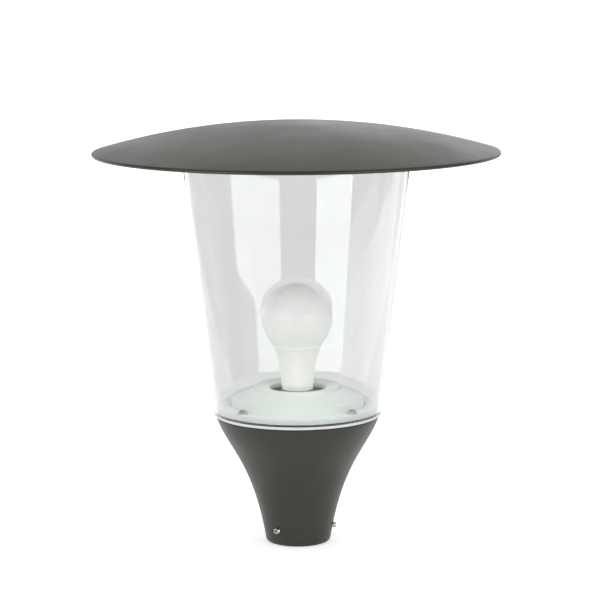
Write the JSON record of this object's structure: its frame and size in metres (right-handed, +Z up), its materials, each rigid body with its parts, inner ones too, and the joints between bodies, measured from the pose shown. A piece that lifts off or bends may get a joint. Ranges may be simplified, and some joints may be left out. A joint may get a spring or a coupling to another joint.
{
  "type": "street lamp head",
  "caption": "Post-top street lamp head: a clear conical diffuser under a shallow dish canopy, on a flared spigot that clamps onto a round post.",
  "frame": {"origin": "centre of the spigot casting's bottom edge, in the mouth of the post socket", "axes": "+Z up along the post's axis, -Y towards the front, +X to the right seen from the front"},
  "size_m": [0.35, 0.35, 0.367],
  "materials": {
    "graphite_coat": "matte",
    "white_coat": "satin",
    "stainless": "satin",
    "zinc_steel": "satin",
    "bare_aluminium": "satin",
    "clear_polycarbonate": "gloss",
    "lamp_white": "satin",
    "porcelain": "gloss",
    "black_rubber": "matte",
    "pale_plastic": "matte",
    "brass": "satin",
    "nickel_plate": "satin",
    "brown_insulation": "satin",
    "blue_insulation": "satin",
    "green_insulation": "satin"
  },
  "bodies": {
    "root": {"base_casting": "graphite_coat", "set_screws": "stainless", "post_grommet": "black_rubber", "tray": "zinc_steel", "tray_screws": "stainless", "tray_grommet": "black_rubber", "cable_clamp": "pale_plastic", "cable_clamp_screws": "stainless", "terminal_block": "pale_plastic", "terminal_tubes": "brass", "terminal_screws": "stainless", "block_screws": "stainless", "live_wire": "brown_insulation", "neutral_wire": "blue_insulation", "earth_wire": "green_insulation", "earth_lug": "brass", "earth_washer": "stainless", "earth_screw": "stainless", "lampholder_body": "porcelain", "lampholder_screws": "stainless", "lampholder_shell": "nickel_plate", "lampholder_contact": "brass", "lamp_bulb": "lamp_white", "lower_gasket": "black_rubber", "diffuser": "clear_polycarbonate", "upper_gasket": "black_rubber", "lamp_pan": "white_coat", "clamp_ring": "white_coat", "clamp_screws": "stainless", "clamp_washers": "stainless", "canopy_seal": "black_rubber", "canopy_ring": "bare_aluminium", "canopy_ring_screws": "stainless", "canopy": "graphite_coat", "canopy_washers": "stainless", "canopy_nuts": "stainless"}
  },
  "joints": []
}
